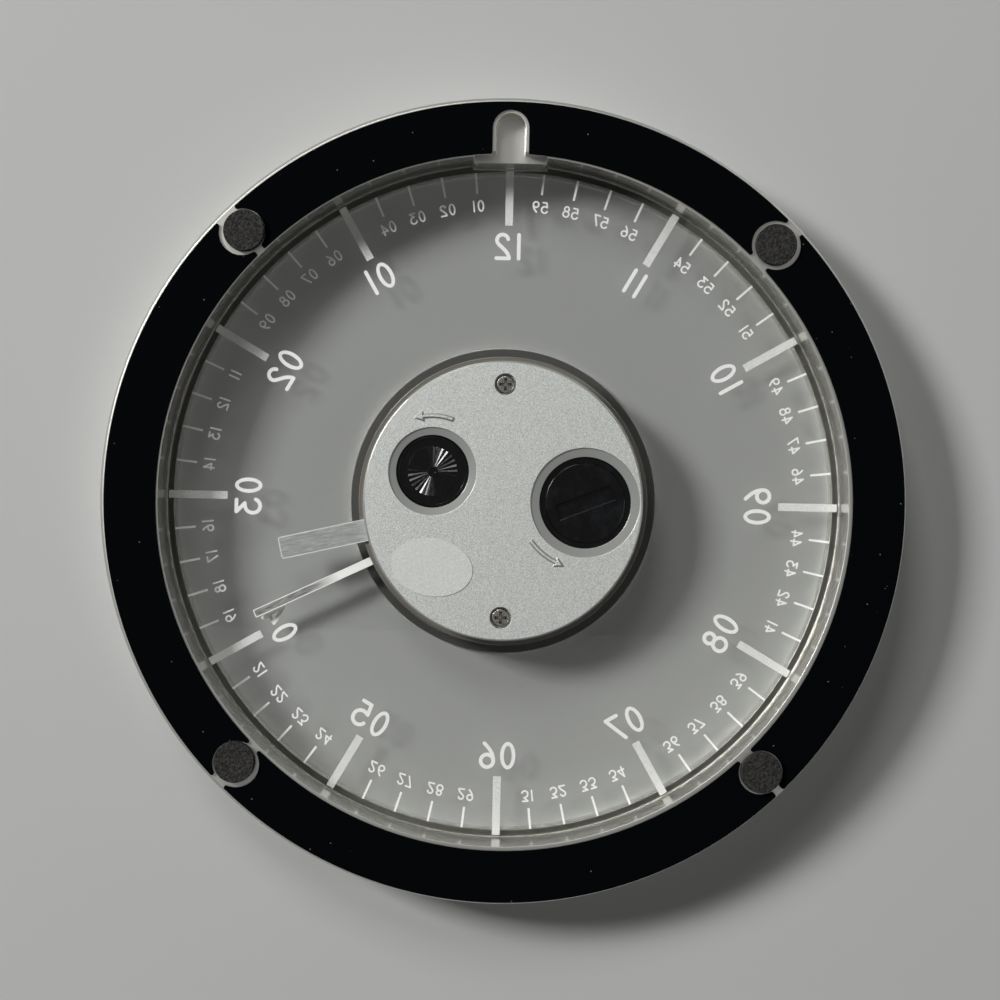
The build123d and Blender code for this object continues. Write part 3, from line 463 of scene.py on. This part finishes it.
def satin_black_abs(tree):
    """Moulded black ABS with a light satin face, rubbed a little greyer in patches by fingers and coins."""
    place = add(tree, "ShaderNodeTexCoord")
    wear = add(
        tree,
        "ShaderNodeTexNoise",
        {"Scale": 1 / (2.2 * MM), "Detail": 6.0, "Roughness": 0.65},
        {"Vector": place.outputs["Object"]},
    )
    rubbed = add(
        tree,
        "ShaderNodeMapRange",
        {"From Min": 0.45, "From Max": 0.7},
        {"Value": wear.outputs["Fac"]},
    )
    tone = add(
        tree,
        "ShaderNodeMix",
        {"data_type": "RGBA", FIRST: linear("#030304"), SECOND: linear("#0F1114")},
        {FACTOR: rubbed.outputs["Result"]},
    )
    rough = add(
        tree,
        "ShaderNodeMapRange",
        {"To Min": 0.16, "To Max": 0.34},
        {"Value": rubbed.outputs["Result"]},
    )
    texture = add(
        tree,
        "ShaderNodeTexNoise",
        {"Scale": 1 / (0.14 * MM), "Detail": 3.0},
        {"Vector": place.outputs["Object"]},
    )
    soft_edge = add(tree, "ShaderNodeBevel", {"Radius": 0.1 * MM, "samples": EDGE_SAMPLES})
    surface = add(
        tree,
        "ShaderNodeBump",
        {"Strength": 0.5, "Distance": 0.008 * MM},
        {"Height": texture.outputs["Fac"], "Normal": soft_edge.outputs["Normal"]},
    )
    shader = add(
        tree,
        "ShaderNodeBsdfPrincipled",
        {"IOR": 1.53, "Specular IOR Level": 0.25},
        {
            "Base Color": tone.outputs[MIXED],
            "Roughness": rough.outputs["Result"],
            "Normal": surface.outputs["Normal"],
        },
    )
    return shader.outputs["BSDF"]


def smoky_acetal(tree):
    """Turned and polished smoky acetal: a warm grey, with fine lathe lines that draw thin bright arcs, and
    edges worn round."""
    lines = lathe_lines(tree, 0.16 * MM)
    worn_edge = add(tree, "ShaderNodeBevel", {"Radius": 0.12 * MM, "samples": EDGE_SAMPLES})
    tone = add(
        tree,
        "ShaderNodeMix",
        {"data_type": "RGBA", FIRST: linear("#403E38"), SECOND: linear("#858278")},
        {FACTOR: lines},
    )
    rough = add(tree, "ShaderNodeMapRange", {"To Min": 0.18, "To Max": 0.4}, {"Value": lines})
    surface = add(
        tree,
        "ShaderNodeBump",
        {"Strength": 0.5, "Distance": 0.008 * MM},
        {"Height": lines, "Normal": worn_edge.outputs["Normal"]},
    )
    shader = add(
        tree,
        "ShaderNodeBsdfPrincipled",
        {"IOR": 1.48},
        {
            "Base Color": tone.outputs[MIXED],
            "Roughness": rough.outputs["Result"],
            "Normal": surface.outputs["Normal"],
        },
    )
    return shader.outputs["BSDF"]


def nickelled_steel(tree):
    """Nickel-plated steel screws: bright grey, with small dull spots in the plating and painted shade in
    the cross and other recesses."""
    place = add(tree, "ShaderNodeTexCoord")
    spots = add(
        tree,
        "ShaderNodeTexNoise",
        {"Scale": 1 / (0.3 * MM), "Detail": 5.0},
        {"Vector": place.outputs["Object"]},
    )
    dull = add(
        tree,
        "ShaderNodeMapRange",
        {"From Min": 0.35, "From Max": 0.65},
        {"Value": spots.outputs["Fac"]},
    )
    tone = add(
        tree,
        "ShaderNodeMix",
        {"data_type": "RGBA", FIRST: linear("#6F6B64"), SECOND: linear("#C9C5BD")},
        {FACTOR: dull.outputs["Result"]},
    )
    # Painted shade: the colour darkens towards #15130F where ambient occlusion finds a recess, as in the
    # cross
    corner = add(tree, "ShaderNodeAmbientOcclusion", {"Distance": 0.35 * MM, "samples": CORNER_SAMPLES})
    open_face = add(
        tree,
        "ShaderNodeMapRange",
        {"From Min": 0.55, "From Max": 0.85},
        {"Value": corner.outputs["AO"]},
    )
    painted_recess_shade = add(
        tree,
        "ShaderNodeMix",
        {"data_type": "RGBA", FIRST: linear("#15130F")},
        {FACTOR: open_face.outputs["Result"], SECOND: tone.outputs[MIXED]},
    )
    rough = add(
        tree,
        "ShaderNodeMapRange",
        {"To Min": 0.42, "To Max": 0.2},
        {"Value": dull.outputs["Result"]},
    )
    surface = add(
        tree,
        "ShaderNodeBump",
        {"Strength": 0.6, "Distance": 0.02 * MM},
        {"Height": spots.outputs["Fac"]},
    )
    shader = add(
        tree,
        "ShaderNodeBsdfPrincipled",
        {"Metallic": 1.0},
        {
            "Base Color": painted_recess_shade.outputs[MIXED],
            "Roughness": rough.outputs["Result"],
            "Normal": surface.outputs["Normal"],
        },
    )
    return shader.outputs["BSDF"]


def frosted_film(tree):
    """Frosted polyester film: a shade paler and more even than the lacquer that it is stuck to, and quite
    matt."""
    place = add(tree, "ShaderNodeTexCoord")
    haze = add(
        tree,
        "ShaderNodeTexNoise",
        {"Scale": 1 / (0.2 * MM), "Detail": 3.0},
        {"Vector": place.outputs["Object"]},
    )
    tone = add(
        tree,
        "ShaderNodeMix",
        {"data_type": "RGBA", FIRST: linear("#ABADAA"), SECOND: linear("#E0E2DE")},
        {FACTOR: haze.outputs["Fac"]},
    )
    rough = add(
        tree,
        "ShaderNodeMapRange",
        {"To Min": 0.45, "To Max": 0.6},
        {"Value": haze.outputs["Fac"]},
    )
    surface = add(
        tree,
        "ShaderNodeBump",
        {"Strength": 0.8, "Distance": 0.03 * MM},
        {"Height": haze.outputs["Fac"]},
    )
    shader = add(
        tree,
        "ShaderNodeBsdfPrincipled",
        {"Specular IOR Level": 0.3},
        {
            "Base Color": tone.outputs[MIXED],
            "Roughness": rough.outputs["Result"],
            "Normal": surface.outputs["Normal"],
        },
    )
    return shader.outputs["BSDF"]


def turned_aluminium(tree):
    """Turned aluminium: fine rings round the axis that stretch the highlights across the disc."""
    lines = lathe_lines(tree, 0.1 * MM)
    tone = add(
        tree,
        "ShaderNodeMix",
        {"data_type": "RGBA", FIRST: linear("#9C9B98"), SECOND: linear("#C4C3C0")},
        {FACTOR: lines},
    )
    rough = add(tree, "ShaderNodeMapRange", {"To Min": 0.25, "To Max": 0.45}, {"Value": lines})
    grooves = add(
        tree, "ShaderNodeBump", {"Strength": 0.8, "Distance": 0.008 * MM}, {"Height": lines}
    )
    shader = add(
        tree,
        "ShaderNodeBsdfPrincipled",
        {"Metallic": 1.0},
        {
            "Base Color": tone.outputs[MIXED],
            "Roughness": rough.outputs["Result"],
            "Normal": grooves.outputs["Normal"],
        },
    )
    return shader.outputs["BSDF"]


def hand_run(name):
    """The angle of a hand's strip on the dial, its two ends along that line, and half its width."""
    corners = [corner.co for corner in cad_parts[name].data.vertices]
    middle = sum(corners, Vector()) / len(corners)
    along = Vector((middle.x, 0, middle.z)).normalized()
    across = Vector((-along.z, 0, along.x))
    runs = [corner.dot(along) for corner in corners]
    half_width = max(abs(corner.dot(across)) for corner in corners)
    return math.atan2(along.z, along.x), min(runs), max(runs), half_width


def sheared_aluminium(name, dark, light, highlight_tone, root_highlight_share):
    """Brushed aluminium strip, sheared to width: fine scratches along it between dark and light, and a
    painted highlight of bright tone along its edges, its tip and a stretch from its root."""
    angle, root, tip, half_width = hand_run(name)
    edge_highlight_width = 0.14 * MM
    edge_highlight_foot = edge_highlight_width * 1.4
    edge_highlight_crest = edge_highlight_width * 0.6
    root_highlight_end = root + (tip - root) * root_highlight_share
    root_highlight_fade = 2.5 * MM

    def build(tree):
        place = add(tree, "ShaderNodeTexCoord")
        laid_flat = add(
            tree,
            "ShaderNodeVectorRotate",
            {"rotation_type": "Y_AXIS", "Angle": angle},
            {"Vector": place.outputs["Object"]},
        )
        parts = add(tree, "ShaderNodeSeparateXYZ", links={"Vector": laid_flat.outputs["Vector"]})
        # Scratches 0.12 mm apart and about 2 mm long, drawn coarser than real so that they show
        stretched = add(
            tree,
            "ShaderNodeMapping",
            {"Scale": (0.06, 1.0, 1.0)},
            {"Vector": laid_flat.outputs["Vector"]},
        )
        scratches = add(
            tree,
            "ShaderNodeTexNoise",
            {"Scale": 1 / (0.12 * MM), "Detail": 4.0, "Roughness": 0.7},
            {"Vector": stretched.outputs["Vector"]},
        )
        cut = add(
            tree,
            "ShaderNodeMapRange",
            {"From Min": 0.35, "From Max": 0.68},
            {"Value": scratches.outputs["Fac"]},
        )
        brushed = add(
            tree,
            "ShaderNodeMix",
            {"data_type": "RGBA", FIRST: linear(dark), SECOND: linear(light)},
            {FACTOR: cut.outputs["Result"]},
        )
        # The masks below lay a painted highlight of bright tone along the edges, the tip and a stretch from
        # the root
        off_line = add(
            tree, "ShaderNodeMath", {"operation": "ABSOLUTE"}, {0: parts.outputs["Z"]}
        )
        edge = add(
            tree,
            "ShaderNodeMapRange",
            {"From Min": half_width - edge_highlight_foot, "From Max": half_width - edge_highlight_crest},
            {"Value": off_line.outputs["Value"]},
        )
        end = add(
            tree,
            "ShaderNodeMapRange",
            {"From Min": tip - edge_highlight_foot, "From Max": tip - edge_highlight_crest},
            {"Value": parts.outputs["X"]},
        )
        polished = add(
            tree,
            "ShaderNodeMapRange",
            {"From Min": root_highlight_end + root_highlight_fade, "From Max": root_highlight_end - root_highlight_fade},
            {"Value": parts.outputs["X"]},
        )
        edge_highlight = add(
            tree,
            "ShaderNodeMath",
            {"operation": "MAXIMUM"},
            {0: edge.outputs["Result"], 1: end.outputs["Result"]},
        )
        bright = add(
            tree,
            "ShaderNodeMath",
            {"operation": "MAXIMUM"},
            {0: edge_highlight.outputs["Value"], 1: polished.outputs["Result"]},
        )
        tone = add(
            tree,
            "ShaderNodeMix",
            {"data_type": "RGBA", SECOND: linear(highlight_tone)},
            {FACTOR: bright.outputs["Value"], FIRST: brushed.outputs[MIXED]},
        )
        rough = add(
            tree,
            "ShaderNodeMapRange",
            {"To Min": 0.34, "To Max": 0.6},
            {"Value": bright.outputs["Value"]},
        )
        grooves = add(
            tree,
            "ShaderNodeBump",
            {"Strength": 0.6, "Distance": 0.012 * MM},
            {"Height": cut.outputs["Result"]},
        )
        shader = add(
            tree,
            "ShaderNodeBsdfPrincipled",
            {"Metallic": 0.7},
            {
                "Base Color": tone.outputs[MIXED],
                "Roughness": rough.outputs["Result"],
                "Normal": grooves.outputs["Normal"],
            },
        )
        return shader.outputs["BSDF"]

    return build


def moulded(dark, light, rough, grain_size):
    """Injection-moulded plastic of one colour with a fine eroded grain and slight mottling."""
    rough_spread = 0.12

    def build(tree):
        place = add(tree, "ShaderNodeTexCoord")
        texture = add(
            tree,
            "ShaderNodeTexNoise",
            {"Scale": 1 / grain_size, "Detail": 3.0},
            {"Vector": place.outputs["Object"]},
        )
        tone = add(
            tree,
            "ShaderNodeMix",
            {"data_type": "RGBA", FIRST: linear(dark), SECOND: linear(light)},
            {FACTOR: texture.outputs["Fac"]},
        )
        matt = add(
            tree,
            "ShaderNodeMapRange",
            {"To Min": rough, "To Max": rough + rough_spread},
            {"Value": texture.outputs["Fac"]},
        )
        surface = add(
            tree,
            "ShaderNodeBump",
            {"Strength": 0.6, "Distance": 0.006 * MM},
            {"Height": texture.outputs["Fac"]},
        )
        shader = add(
            tree,
            "ShaderNodeBsdfPrincipled",
            {"IOR": 1.5},
            {
                "Base Color": tone.outputs[MIXED],
                "Roughness": matt.outputs["Result"],
                "Normal": surface.outputs["Normal"],
            },
        )
        return shader.outputs["BSDF"]

    return build


def plated(dark, light, rough):
    """Stamped or drawn metal with faint mottling in its plating."""
    rough_spread = 0.15

    def build(tree):
        place = add(tree, "ShaderNodeTexCoord")
        spots = add(
            tree,
            "ShaderNodeTexNoise",
            {"Scale": 1 / (0.4 * MM), "Detail": 4.0},
            {"Vector": place.outputs["Object"]},
        )
        tone = add(
            tree,
            "ShaderNodeMix",
            {"data_type": "RGBA", FIRST: linear(dark), SECOND: linear(light)},
            {FACTOR: spots.outputs["Fac"]},
        )
        dulled = add(
            tree,
            "ShaderNodeMapRange",
            {"To Min": rough, "To Max": rough + rough_spread},
            {"Value": spots.outputs["Fac"]},
        )
        surface = add(
            tree,
            "ShaderNodeBump",
            {"Strength": 0.6, "Distance": 0.006 * MM},
            {"Height": spots.outputs["Fac"]},
        )
        shader = add(
            tree,
            "ShaderNodeBsdfPrincipled",
            {"Metallic": 1.0},
            {
                "Base Color": tone.outputs[MIXED],
                "Roughness": dulled.outputs["Result"],
                "Normal": surface.outputs["Normal"],
            },
        )
        return shader.outputs["BSDF"]

    return build


def enamelled_wire(tree):
    """Fine enamelled copper wire wound side by side, drawn coarser than real so that the turns show, with
    painted shade between the turns and painted highlight on them.
    """
    place = add(tree, "ShaderNodeTexCoord")
    turns = add(
        tree,
        "ShaderNodeTexWave",
        {"bands_direction": "X", "Scale": 1 / (0.9 * MM), "Distortion": 0.3},
        {"Vector": place.outputs["Object"]},
    )
    # The dark bands between the turns are painted shade and the light bands on them are painted highlight
    tone = add(
        tree,
        "ShaderNodeMix",
        {"data_type": "RGBA", FIRST: linear("#6E2F14"), SECOND: linear("#C8733A")},
        {FACTOR: turns.outputs["Fac"]},
    )
    rounds = add(
        tree,
        "ShaderNodeBump",
        {"Strength": 1.0, "Distance": 0.04 * MM},
        {"Height": turns.outputs["Fac"]},
    )
    shader = add(
        tree,
        "ShaderNodeBsdfPrincipled",
        {"Metallic": 0.9, "Roughness": 0.32},
        {"Base Color": tone.outputs[MIXED], "Normal": rounds.outputs["Normal"]},
    )
    return shader.outputs["BSDF"]


nickelled = finish_material("nickelled_zinc", nickelled_zinc)
flock = finish_material("black_flock", black_flock)
rubber = finish_material("cellular_rubber", cellular_rubber)
acrylic = finish_material("cast_acrylic", cast_acrylic)
numeral_ink = finish_material(
    "white_ink", printed_white("#D6D6D3", "#F4F4F2", mesh_pitch=0.12 * MM, thin=0.3)
)
mark_ink = finish_material(
    "thin_white_ink", printed_white("#B9BAB7", "#F0F0ED", mesh_pitch=0.09 * MM, thin=0.4)
)
lacquer = finish_material("silver_lacquer", silver_lacquer)
knob_black = finish_material("gloss_black_abs", gloss_black_abs)
door_black = finish_material("satin_black_abs", satin_black_abs)
ring_acetal = finish_material("smoky_acetal", smoky_acetal)
screw_nickel = finish_material("nickelled_steel", nickelled_steel)
film = finish_material("frosted_film", frosted_film)
disc_metal = finish_material("turned_aluminium", turned_aluminium)
hour_strip = finish_material(
    "sheared_aluminium_hour",
    sheared_aluminium("hour_hand", "#A1A4A1", "#D6D8D5", "#D9DAD7", root_highlight_share=0.0),
)
minute_strip = finish_material(
    "sheared_aluminium_minute",
    sheared_aluminium("minute_hand", "#6A6C6B", "#D5D6D2", "#F1F1ED", root_highlight_share=0.45),
)
black_acetal = finish_material(
    "black_acetal", moulded("#0B0B0B", "#161616", rough=0.35, grain_size=0.2 * MM)
)
white_acetal = finish_material(
    "white_acetal", moulded("#C9C8C0", "#DEDDD6", rough=0.4, grain_size=0.2 * MM)
)
seal_rubber = finish_material(
    "nitrile_rubber", moulded("#141414", "#202020", rough=0.6, grain_size=0.15 * MM)
)
board_green = finish_material(
    "green_laminate", moulded("#123A22", "#1D5230", rough=0.35, grain_size=0.3 * MM)
)
chip_resin = finish_material(
    "black_epoxy", moulded("#0A0A0A", "#131313", rough=0.15, grain_size=0.4 * MM)
)
soft_iron = finish_material("soft_iron", plated("#7C7B78", "#A09F9B", rough=0.35))
magnet = finish_material("ground_magnet", plated("#3A3A3C", "#545457", rough=0.3))
steel_can = finish_material("drawn_steel", plated("#A8A7A4", "#C9C8C5", rough=0.22))
strip_nickel = finish_material("nickel_silver_strip", plated("#A39C8A", "#C7C0AE", rough=0.28))
wire = finish_material("enamelled_wire", enamelled_wire)

finishes = {
    nickelled: ["ring_body"],
    flock: ["backing_top", "backing_right", "backing_bottom", "backing_left"],
    rubber: ["foot_1", "foot_2", "foot_3", "foot_4"],
    acrylic: ["dial_plate"],
    numeral_ink: ["minute_marks", "hour_numerals", "minute_numerals"],
    mark_ink: ["hour_marks"],
    lacquer: ["back_cap"],
    knob_black: ["set_knob"],
    door_black: ["battery_door"],
    screw_nickel: ["cap_screws"],
    film: ["cap_film"],
    disc_metal: ["front_disc"],
    hour_strip: ["hour_hand"],
    minute_strip: ["minute_hand"],
    ring_acetal: ["minute_ring", "hour_ring", "housing_cup"],
    black_acetal: ["bridge"],
    white_acetal: ["set_gear", "transfer_wheel", "hour_wheel", "motor_wheel", "coil_bobbin"],
    seal_rubber: ["door_seal"],
    board_green: ["circuit_board"],
    chip_resin: ["clock_chip"],
    soft_iron: ["stator", "coil_core"],
    magnet: ["rotor"],
    steel_can: ["quartz_crystal", "battery_cell"],
    strip_nickel: ["contact_minus", "contact_plus"],
    wire: ["coil_winding"],
}
for material, nodes in finishes.items():
    for name in nodes:
        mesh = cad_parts[name].data
        mesh.materials.clear()
        mesh.materials.append(material)


# Stage: a plain pale sheet that the clock's face rests against, seen from its own side only, and a floor
SHEET_REACH = 1.2
FLOOR_DROP = 60.0 * MM


def plane(name, corners, material):
    """A flat sheet of the stage."""
    mesh = bpy.data.meshes.new(name)
    mesh.from_pydata(corners, [], [range(len(corners))])
    mesh.materials.append(material)
    sheet = bpy.data.objects.new(name, mesh)
    bpy.context.scene.collection.objects.link(sheet)
    return sheet


def pale_felt(tree):
    """Plain pale grey felt, which from behind is not there at all."""
    shader = add(tree, "ShaderNodeBsdfDiffuse", {"Color": linear("#B2B3B1")})
    clear = add(tree, "ShaderNodeBsdfTransparent")
    side = add(tree, "ShaderNodeNewGeometry")
    mix = add(
        tree,
        "ShaderNodeMixShader",
        links={0: side.outputs["Backfacing"], 1: shader.outputs["BSDF"], 2: clear.outputs["BSDF"]},
    )
    return mix.outputs["Shader"]


def pale_floor(tree):
    """Plain pale floor."""
    return add(tree, "ShaderNodeBsdfDiffuse", {"Color": linear("#D8D8D6")}).outputs["BSDF"]


floor_z = ring_low.z - FLOOR_DROP
backdrop = plane(
    "backdrop",
    [
        (SHEET_REACH, wall_y, floor_z),
        (-SHEET_REACH, wall_y, floor_z),
        (-SHEET_REACH, wall_y, SHEET_REACH),
        (SHEET_REACH, wall_y, SHEET_REACH),
    ],
    finish_material("pale_felt", pale_felt),
)
backdrop.visible_shadow = False
floor = plane(
    "floor",
    [
        (-SHEET_REACH, -SHEET_REACH, floor_z),
        (SHEET_REACH, -SHEET_REACH, floor_z),
        (SHEET_REACH, SHEET_REACH, floor_z),
        (-SHEET_REACH, SHEET_REACH, floor_z),
    ],
    finish_material("pale_floor", pale_floor),
)
floor.visible_diffuse = False
floor.visible_glossy = False


def lamp(name, place, size, power):
    """A square soft light that looks at the middle of the clock."""
    light = bpy.data.lights.new(name, "AREA")
    light.size = size
    light.energy = power
    holder = bpy.data.objects.new(name, light)
    holder.location = place
    holder.rotation_euler = (-Vector(place)).to_track_quat("-Z", "Y").to_euler()
    bpy.context.scene.collection.objects.link(holder)


# The key stands off the back's left and a weaker lamp off its top, at the heights that the shadows in the
# photograph give. The fill is far enough out that the dial doesn't mirror it
LAMP_DISTANCE = 1.6
KEY_DIRECTION = Vector((1.3, 1.0, 0.68)).normalized()
TOP_DIRECTION = Vector((0.42, 1.0, 1.12)).normalized()
lamp("key", KEY_DIRECTION * LAMP_DISTANCE, size=0.35, power=27.0)
lamp("top", TOP_DIRECTION * LAMP_DISTANCE, size=0.5, power=7.0)
lamp("back_fill", (-0.75, 0.55, -0.15), size=0.4, power=1.6)
lamp("front_key", (-0.45, -0.7, 0.6), size=0.4, power=5.5)
lamp("front_fill", (0.6, -0.7, 0.1), size=0.8, power=3.0)

# The studio round the clock is pale where the camera, metal and clear pieces see it, and dimmer as a light
STUDIO_SEEN = 0.32
STUDIO_LIGHT = 0.09
world = bpy.data.worlds.new("studio")
world.use_nodes = True
studio = world.node_tree
path = add(studio, "ShaderNodeLightPath")
mirrored = add(
    studio,
    "ShaderNodeMath",
    {"operation": "MAXIMUM"},
    {0: path.outputs["Is Glossy Ray"], 1: path.outputs["Is Transmission Ray"]},
)
seen = add(
    studio,
    "ShaderNodeMath",
    {"operation": "MAXIMUM"},
    {0: path.outputs["Is Camera Ray"], 1: mirrored.outputs["Value"]},
)
strength = add(
    studio,
    "ShaderNodeMapRange",
    {"To Min": STUDIO_LIGHT, "To Max": STUDIO_SEEN},
    {"Value": seen.outputs["Value"]},
)
background = studio.nodes["Background"]
background.inputs["Color"].default_value = linear("#F2F2F1")
studio.links.new(strength.outputs["Result"], background.inputs["Strength"])
bpy.context.scene.world = world

camera_data = bpy.data.cameras.new("camera")
camera_data.lens = FOCAL_LENGTH
camera_data.sensor_width = SENSOR_WIDTH
camera_data.clip_start = CLIP_START
camera = bpy.data.objects.new("camera", camera_data)
right = Vector((-math.cos(CAMERA_ROLL), 0, math.sin(CAMERA_ROLL)))
up = Vector((math.sin(CAMERA_ROLL), 0, math.cos(CAMERA_ROLL)))
back = Vector((0, 1, 0))
turn = Matrix((right, up, back)).transposed().to_4x4()
camera_place = back * (ring_back_y + CAMERA_TO_RING_BACK) - right * CAMERA_TO_LEFT + up * CAMERA_UP
camera.matrix_world = Matrix.Translation(camera_place) @ turn
bpy.context.scene.collection.objects.link(camera)
bpy.context.scene.camera = camera
bpy.context.scene.view_settings.view_transform = "Standard"
